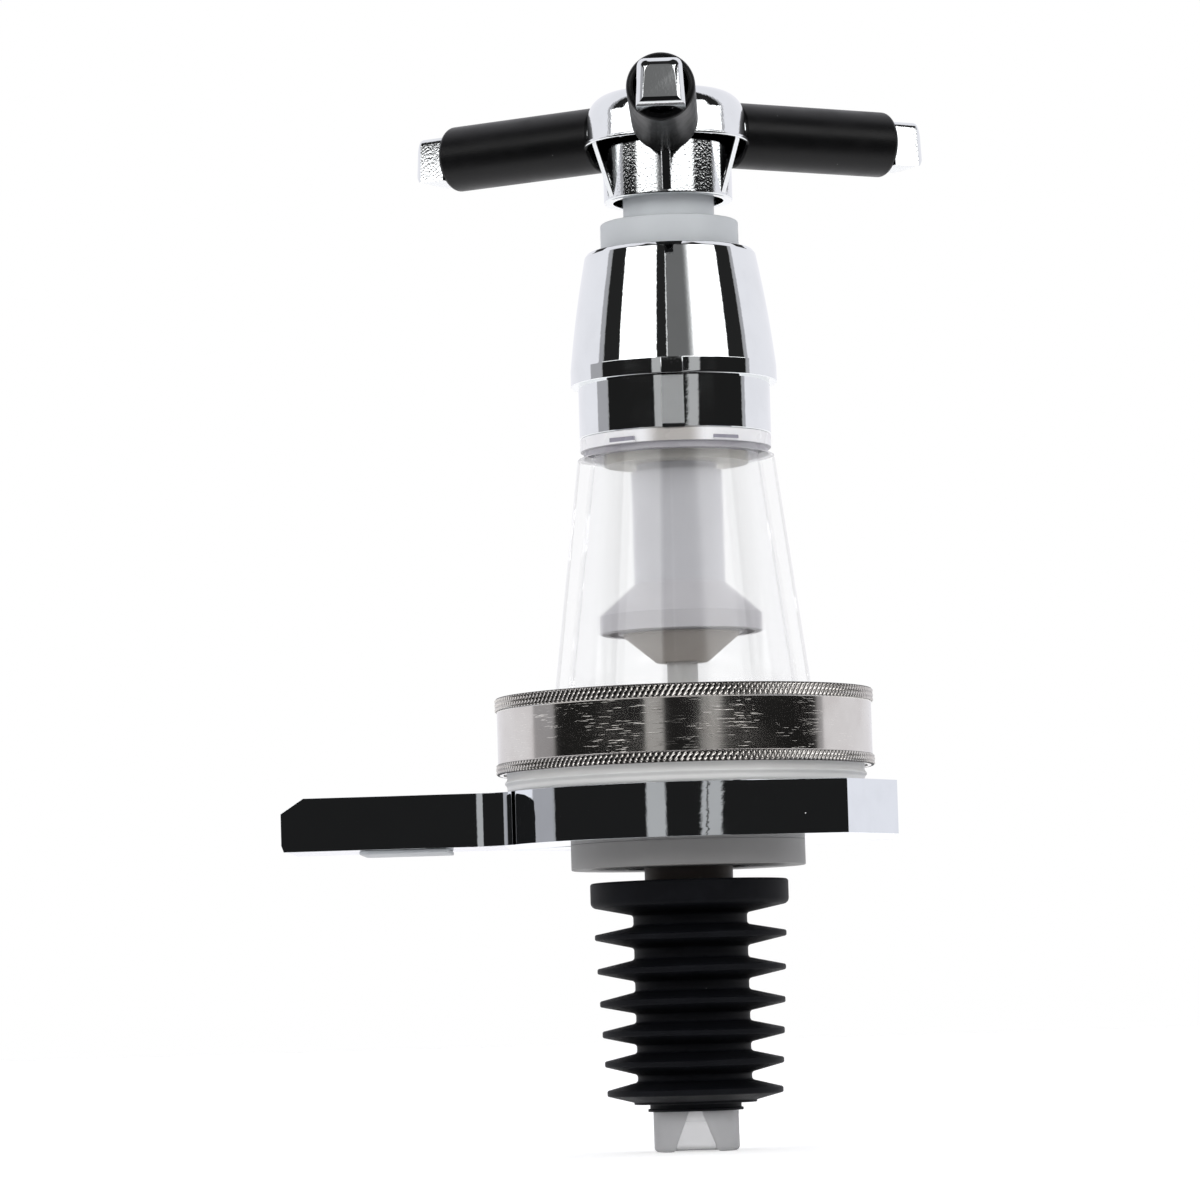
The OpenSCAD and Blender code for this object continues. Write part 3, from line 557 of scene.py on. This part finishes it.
def softened(node, radius):
    """A CAD node's own shape with every hard edge rounded."""
    bm = bmesh.new()
    bm.from_mesh(frame["nodes"][node].data)
    bmesh.ops.remove_doubles(bm, verts=bm.verts, dist=0.002 * MM)
    bmesh.ops.dissolve_limit(
        bm, angle_limit=FLAT_WITHIN, verts=bm.verts, edges=bm.edges, use_dissolve_boundaries=False)
    hard = [e for e in bm.edges if len(e.link_faces) == 2 and e.calc_face_angle() > HARD_FROM]
    bmesh.ops.bevel(
        bm, geom=hard, offset=radius * MM, segments=3, profile=0.5, affect="EDGES", clamp_overlap=True)
    name = node + "_softened"
    mesh = to_mesh(bm, name)
    if "custom_normal" in mesh.attributes:
        mesh.attributes.remove(mesh.attributes["custom_normal"])
    join_up(name, mesh, node)


# Stopper

CORE_R = 8.5
FIN_COUNT = 6
FIN_DEPTH = 6
FIN_SWING = 0.1
FINS_Z = (-25, -2)


def make_stopper():
    """Flange, six thin fins and a lip at the nose."""
    flange_r, nose_z, flange_top = span("stopper")
    bore_r, neck_r = 6.4, 6.65
    first_z, last_z = -4.45, nose_z + 2.85
    first_r, last_r = 14.3, 13.1
    root, edge = 1.6, 0.42
    corners = [(neck_r, flange_top), (flange_r, flange_top, 0.4), (flange_r, 0.1, 0.9), (CORE_R, -1.2, 0.5)]
    for i in range(FIN_COUNT):
        t = i / (FIN_COUNT - 1)
        z = first_z + (last_z - first_z) * (t + 0.09 * t * (1 - t))
        r = first_r + (last_r - first_r) * t
        corners += [(CORE_R, z + root, 0.5), (r, z + edge, 0.3), (r, z - edge, 0.3), (CORE_R, z - root, 0.5)]
    corners += [
        (CORE_R, nose_z + 2.5), (9.15, nose_z + 2.5, 0.15), (9.15, nose_z + 1.1, 0.15), (6.8, nose_z + 1.1, 0.2),
        (6.8, nose_z + 0.45), (7.1, nose_z + 0.4, 0.1), (7.1, nose_z, 0.1), (bore_r, nose_z),
        (bore_r, 1.6), (neck_r, 1.6),
    ]

    def flutter(r, z, angle):
        """The fins of a used stopper aren't quite flat."""
        if z < FINS_Z[0] or z > FINS_Z[1] or r < CORE_R:
            return r, z
        return r, z + FIN_SWING * (r - CORE_R) / FIN_DEPTH * math.sin(2 * angle + z)

    turned("stopper", corners, 160, flutter)


# Ring nut

RING_LIP_T = 1.6
TOOTH_ROWS = 10
TOOTH_STEPS = 6
KNURL_DEPTH = 0.24
KNURL_PITCH = 0.85
KNURL_SLANT = math.radians(32)


def make_ring_nut():
    """Ring with a smooth band between two knurled ones and a lip that holds the chamber down."""
    r, low, high = span("ring_nut")
    middle_r, bore_r, lip_r = r - 0.35, 27.25, 19.8
    edge = 0.24
    teeth = round(2 * math.pi * r / KNURL_PITCH)

    def rows_between(a, b):
        return [(r, a + (b - a) * k / TOOTH_ROWS) for k in range(TOOTH_ROWS + 1)]

    corners = [(bore_r, low), (r - edge, low)]
    corners += rows_between(low + edge, low + KNURL_LOW_H - 0.18)
    corners += [(middle_r, low + KNURL_LOW_H + 0.05, 0.04), (middle_r, high - KNURL_TOP_H - 0.05, 0.04)]
    corners += rows_between(high - KNURL_TOP_H + 0.15, high - edge)
    corners += [(r - edge, high), (lip_r, high, 0.2), (lip_r, high - RING_LIP_T), (bore_r, high - RING_LIP_T)]

    def knurl(radius, z, angle):
        """Cross-cut teeth on the two raised bands."""
        if radius < r - 0.01:
            return radius, z
        slide = z * math.tan(KNURL_SLANT) / KNURL_PITCH
        cuts = [abs(2 * ((teeth * angle / (2 * math.pi) + s * slide) % 1) - 1) for s in (1, -1)]
        return radius - KNURL_DEPTH * max(cuts[1], 0.6 * cuts[0]), z

    turned("ring_nut", corners, teeth * TOOTH_STEPS, knurl)


# Chamber

def make_chamber():
    """Cone on a flange, with a groove, a ring with two lugs and a neck above."""
    flange_r, low, high = span("chamber")
    ring_top, top = span("ring_nut")[2], span("outlet_housing")[1]
    base_r, slope, wall = 19.3, 0.1347, 2.0
    groove_z, rim_z = top - 2.95, top - 1.95
    roof_z, pocket_z, seal_z = top - 2.15, top - 0.95, top + 3.25
    lip_z = ring_top - RING_LIP_T

    def cone(z):
        return base_r - slope * (z - ring_top)

    corners = [
        (cone(lip_z) - wall, low), (flange_r, low, 0.2), (flange_r, lip_z, 0.2), (cone(lip_z), lip_z),
        (cone(groove_z) + 0.3, groove_z, 0.3), (RIM_R - 0.5, groove_z, 0.2), (RIM_R - 0.5, rim_z, 0.1),
        (RIM_R, rim_z, 0.15), (RIM_R, top, 0.1), (11.35, top), (11.35, high), (9.05, high), (9.05, seal_z),
        (6.35, seal_z), (6.35, pocket_z), (7.55, pocket_z), (7.55, roof_z), (cone(roof_z) - wall, roof_z, 1.0),
    ]
    lug_z = rim_z + 0.15
    lugs = [((RIM_R - 1, -2.1, lug_z), (RIM_R + 0.3, 2.1, lug_z + 0.7), 0.1, turn) for turn in (-122, -58)]
    turned("chamber", corners, 256, raised=lugs)


# Shroud, spring cap and clamp nut

SHROUD_STEPS = 12


def make_shroud():
    """Upright foot with a key in front, and a side that swells a little as it narrows."""
    low, high = span("shroud")[1:]
    side_r, mouth_r, top_r, swell = 15.5, 11.75, 12.9, 0.2
    foot_z, side_z = low + 2.4, high - 0.6

    def side(t):
        r = side_r + (top_r - side_r) * t + swell * math.sin(math.pi * t)
        return r, foot_z + (side_z - foot_z) * t

    corners = [(13.85, low), (side_r, low, 0.15), (side_r, low + 0.3), (side_r, foot_z - 0.2), (side_r, foot_z, 1)]
    corners += [side(k / SHROUD_STEPS) for k in range(2, SHROUD_STEPS)]
    corners += [
        (top_r, side_z, 0.4), (top_r - 0.45, high, 0.3), (mouth_r, high, 0.3), (mouth_r, high - 1.6, 1),
        (13.2, low + 3.5), (13.85, low + 3.5),
    ]
    key = ((-1.65, -15.75, low), (1.65, -13.9, foot_z), 0.12, 0)
    turned("shroud", corners, 256, raised=[key])


def make_clamp_nut():
    """Plain round nut."""
    r, low, high = span("clamp_nut")
    turned("clamp_nut", [(9.05, low), (r, low, 0.15), (r, high, 0.08), (9.05, high)])


def make_spring_cap():
    """Cap whose skirt slides in the shroud and whose neck stands in the crown."""
    r, low, high = span("spring_cap")
    skirt_r, neck_r, bore_r = 9.5, 6.85, 5.98
    top, roof = 102.8, 100.4
    corners = [
        (skirt_r, low), (r, low), (r, top, 0.3), (neck_r, top, 0.2), (neck_r, high), (bore_r, high), (bore_r, roof),
        (skirt_r, roof),
    ]
    turned("spring_cap", corners, 128)


def make_return_spring():
    """Round wire in the coil's place."""
    wire_r, turns, travel, steps, sides = 0.6, 6.5, 6.2, 260, 12
    r, low, high = span("return_spring")
    coil_r = r - wire_r * math.cos(math.radians(30))
    sections = []
    for k in range(steps + 1):
        angle = 2 * math.pi * turns * k / steps
        middle = low + wire_r + (high - low - 2 * wire_r) * k / steps
        section = []
        for side in range(sides):
            round_wire = 2 * math.pi * side / sides
            out = coil_r + wire_r * math.cos(round_wire)
            section.append((out * math.cos(angle), out * math.sin(angle), middle + wire_r * math.sin(round_wire)))
        sections.append(section)
    bm = bmesh.new()
    loft(bm, sections)
    piece = join_up("return_spring_coil", to_mesh(bm, "return_spring_coil"), "return_spring")
    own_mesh(piece)


# Crown and grips

ARM_Z = 116.9
HEAD_Z = 114.6
SKIRT_R = 9.7
AROUND = 256
GRIP_START, GRIP_END = 11.7, 38.3
PUSH_REACH = 43.7
GRIPS = {"grip_front": -90, "grip_right": 30, "grip_left": 150}


def along(turn, height=0):
    """Frame whose X runs out along the arm at that angle."""
    return Matrix.Translation((0, 0, height)) @ Matrix.Rotation(math.radians(turn), 4, "Z")


def make_arm_tip(bm, turn):
    """Swollen end: narrower above, bevelled round its face, rounded over the top."""
    foot, top, low, high = 3.55, 3.2, -3.6, 3.3
    corner, bevel, over = 1.0, 1.08, 1.4
    turn_in = PUSH_REACH - over
    outs = [GRIP_END + 0.02, turn_in] + [turn_in + over * math.sin(math.radians(a)) for a in (20, 42, 62, 78, 90)]
    sections = []
    for x in outs:
        side = max(0.0, x - (PUSH_REACH - bevel))
        drop = over - math.sqrt(max(0.0, over ** 2 - max(0.0, x - turn_in) ** 2))
        up = high - drop
        right = [(foot - side, low + side), (top - side + 0.04, up - corner)]
        for a in (22, 45, 68, 90):
            across, rise = math.cos(math.radians(a)), math.sin(math.radians(a))
            right.append((top - side - corner * (1 - across), up - corner * (1 - rise)))
        section = right + [(-y, z) for y, z in reversed(right)]
        sections.append([along(turn, ARM_Z) @ Vector((x, y, z)) for y, z in section])
    loft(bm, sections)


def make_arm_root(bm, turn):
    """Stub that the grip butts on, cut off flat by the flange."""
    r, start, end, edge, steps = 4.6, 6, GRIP_START - 0.1, 0.15, 24
    cut = HEAD_Z - ARM_Z
    first = math.asin(cut / r)
    arc = [first + (math.pi - 2 * first) * k / steps for k in range(steps + 1)]
    sections = [
        [along(turn, ARM_Z) @ Vector((x, (r - inset) * math.cos(a), max(cut, (r - inset) * math.sin(a)))) for a in arc]
        for x, inset in ((start, 0), (end - edge, 0), (end, edge))
    ]
    loft(bm, sections)


def make_rib(bm, turn, reach):
    """Thin web from the skirt out to the flange."""
    low, high, half, edge = 106.5, HEAD_Z + 0.3, 0.7, 0.12
    inner = SKIRT_R - 0.8
    corners = [(inner, high), (reach, high), (reach, HEAD_Z - 0.3), (SKIRT_R, low), (inner, low)]
    sections = [
        [along(turn) @ Vector((x - inset, y, z)) for x, z in corners]
        for y, inset in ((-half, edge), (-half + edge, 0), (half - edge, 0), (half, edge))
    ]
    loft(bm, sections)


def make_crown():
    """One plated moulding: skirt, ribs, flange, head and three arms."""
    low, high = span("crown")[1:]
    head_r, flange_r = 12.0, 12.5
    neck_r, neck_z = 6.93, low + 3.4
    bm = bmesh.new()
    head = [
        (4.9, HEAD_Z), (head_r, HEAD_Z), (head_r - 0.25, high, 3.7), (5.7, high, 0.1), (4.9, high - 0.8, 0.1),
    ]
    spin(bm, rounded(head, 10), AROUND)
    skirt = [
        (8.3, low, 0.1), (SKIRT_R, low, 0.3), (SKIRT_R, HEAD_Z + 0.2), (neck_r, HEAD_Z + 0.2), (neck_r, neck_z),
        (8.3, neck_z),
    ]
    spin(bm, rounded(skirt), AROUND)
    flange = [(9, HEAD_Z), (flange_r, HEAD_Z, 0.2), (flange_r, HEAD_Z + 0.6, 0.2), (11, HEAD_Z + 0.7)]

    def flats(r, z, angle):
        """The flange is cut straight where each grip ends."""
        for turn in GRIPS.values():
            away = math.cos(angle - math.radians(turn))
            if away > 0:
                r = min(r, (GRIP_START + 0.2) / away)
        return r, z

    spin(bm, rounded(flange), AROUND, flats)
    for turn in GRIPS.values():
        make_arm_root(bm, turn)
        make_arm_tip(bm, turn)
        make_rib(bm, turn, GRIP_START - 0.2)
        make_rib(bm, turn + 60, flange_r - 0.1)
    join_up("crown_plated", to_mesh(bm, "crown_plated"), "crown", 30)


def make_grip(node, turn):
    """Rubber sleeve, a little rounded inside and more at its outer end."""
    r, bore, start = 5.0, 4.0, GRIP_START - 0.4
    corners = [(bore, start), (r, start, 0.4), (r, GRIP_END, 0.8), (bore, GRIP_END)]
    bm = bmesh.new()
    lay = along(turn, ARM_Z) @ Matrix.Rotation(math.pi / 2, 4, "Y")
    spin(bm, rounded(corners, 8), 96, lay=lay)
    join_up(node + "_sleeve", to_mesh(bm, node + "_sleeve"), node)


make_stopper()
make_ring_nut()
make_chamber()
make_shroud()
make_spring_cap()
make_return_spring()
make_clamp_nut()
make_crown()
for node, turn in GRIPS.items():
    make_grip(node, turn)
softened("bracket_plate", 0.35)
for node in ("chamber_cap", "bracket_pad"):
    softened(node, 0.2)
for node, piece in frame["nodes"].items():
    if node not in replaced:
        for slot in piece.material_slots:
            slot.material = finish_of(node)


# Studio

FLOOR_SIZE = 8.0
CARD_EDGE = -0.045
SOFT_BOX = 2.4
ROOM = 0.98
LAMP_SIZE = 0.9
FILL_LAMPS = [
    ("fill_left", math.radians(-48), math.radians(18), 3.0),
    ("fill_right", math.radians(52), math.radians(14), 3.0),
]


def make_floor():
    """A pale floor that looks as white as the backdrop but takes the shadow; shine meets a black card before it."""
    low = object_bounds()[0].z
    bm = bmesh.new()
    bmesh.ops.create_grid(bm, x_segments=1, y_segments=1, size=FLOOR_SIZE / 2)
    floor = bpy.data.objects.new("floor", to_mesh(bm, "floor"))
    floor.location.z = low
    bpy.context.collection.objects.link(floor)
    material = bpy.data.materials.new("floor")
    material.use_nodes = True
    net = Net(material.node_tree)
    glossy_ray = net.ray("Glossy")
    spot = net.add("ShaderNodeSeparateXYZ", {}, {"Vector": net.place()}, "Y")
    card = (1 - spot.step(CARD_EDGE - 0.02, CARD_EDGE)) * glossy_ray
    seen = net.ray("Camera") + glossy_ray + net.ray("Transmission")
    paper = net.noise(60, 2).step(0.2, 0.8)
    shader = net.add("ShaderNodeBsdfPrincipled", {}, {
        "Base Color": net.mix(paper, colour(0.8, 0.8, 0.8), colour(0.78, 0.78, 0.78)),
        "Roughness": 0.9,
        "Specular IOR Level": 0.0,
    }, "BSDF")
    glow = net.add("ShaderNodeEmission", {}, {"Color": colour(1, 1, 1), "Strength": seen * 0.5}, "Emission")
    both = net.add("ShaderNodeAddShader", {}, {0: shader, 1: glow}, "Shader")
    black = net.add("ShaderNodeBsdfDiffuse", {}, {"Color": colour(0.012, 0.012, 0.012)}, "BSDF")
    dressed = net.add("ShaderNodeMixShader", {}, {0: card, 1: both, 2: black}, "Shader")
    net.add("ShaderNodeOutputMaterial", {}, {"Surface": dressed})
    floor.data.materials.append(material)


def make_studio():
    """White room with a black screen round the camera: pale strips low down, soft boxes above, as the chrome shows.

    turn and rise are the direction's angles in degrees, from straight before the object and from level.
    """
    world = bpy.data.worlds.new("studio")
    bpy.context.scene.world = world
    world.use_nodes = True
    net = Net(world.node_tree)
    way = net.add("ShaderNodeTexCoord", {}, {}, "Generated")
    axes = [net.add("ShaderNodeSeparateXYZ", {}, {"Vector": way}, axis) for axis in "XYZ"]
    degrees = 180 / math.pi
    turn = axes[0].maths("ARCTAN2", axes[1] * -1) * degrees
    rise = axes[2].maths("ARCSINE") * degrees
    leaning = turn - rise * 1.75
    screen = turn.band(-86, 90, 1.5) * (1 - rise.step(72, 80))
    low = 1 - rise.step(8.1, 8.6)
    slit = leaning.band(8.6, 9.5, 0.3) * (1 - rise.step(4, 5))
    strips = turn.band(-23, -11.5, 1) + leaning.band(5.5, 17.8, 1) * (1 - slit)
    near = strips * 0.46 - 0.006
    facing = turn.band(-18, 4, 1.5) * 0.15
    inner = turn.band(-55, -19, 4) + turn.band(3, 48, 4)
    wide = turn.band(-88, -18, 1.5) + turn.band(4, 90, 1.5)
    lower = rise.band(8.4, 11.3, 0.25) * (inner * SOFT_BOX + facing)
    upper = rise.band(11.3, 15, 0.25) * (wide * SOFT_BOX + facing)
    grey = turn.band(-4.6, 22, 0.6) * 0.14 + turn.band(-6.2, -5.0, 0.4) * 0.8
    fade = turn.step(15, 31)
    boxes = turn.band(-63, -18, 0.8) + fade * fade * (1 - turn.step(66, 68))
    narrow = rise.band(15, 34, 0.5) * (boxes * SOFT_BOX + (1 - boxes) * grey)
    lit = (near * low + lower + upper + narrow + 0.02) * screen
    fringe = turn.band(-93, -86, 1) * (1 - low) + turn.band(-105, -86, 1) * low + turn.band(90, 95, 1)
    room = lit + (1 - screen) * ROOM * (1 - fringe * 0.55 * (1 - rise.step(60, 70)))
    white = (net.ray("Camera") + net.ray("Transmission")).maths("MINIMUM", 1)
    strength = room * (1 - white) + white
    tint = net.mix((1 - white) * (1 - screen), colour(1, 1, 1), colour(0.955, 0.95, 1))
    sky = net.add("ShaderNodeBackground", {}, {"Color": tint, "Strength": strength}, "Background")
    net.add("ShaderNodeOutputWorld", {}, {"Surface": sky})


def make_fill():
    """Broad soft lamps before the object that light its plain colours and don't show in the chrome."""
    for name, turn, rise, watts in FILL_LAMPS:
        lamp = bpy.data.lights.new(name, "AREA")
        lamp.shape = "SQUARE"
        lamp.size = LAMP_SIZE
        lamp.energy = watts
        place = Vector((math.sin(turn) * math.cos(rise), -math.cos(turn) * math.cos(rise), math.sin(rise)))
        piece = bpy.data.objects.new(name, lamp)
        bpy.context.collection.objects.link(piece)
        aim = Vector((0, 0, AIM_HEIGHT))
        piece.matrix_world = Matrix.Translation(aim + place) @ place.to_track_quat("Z", "Y").to_matrix().to_4x4()
        piece.visible_glossy = False
        piece.visible_transmission = False
        piece.visible_camera = False


make_studio()
make_fill()
make_floor()
place_camera()
bpy.context.scene.view_settings.view_transform = "Standard"
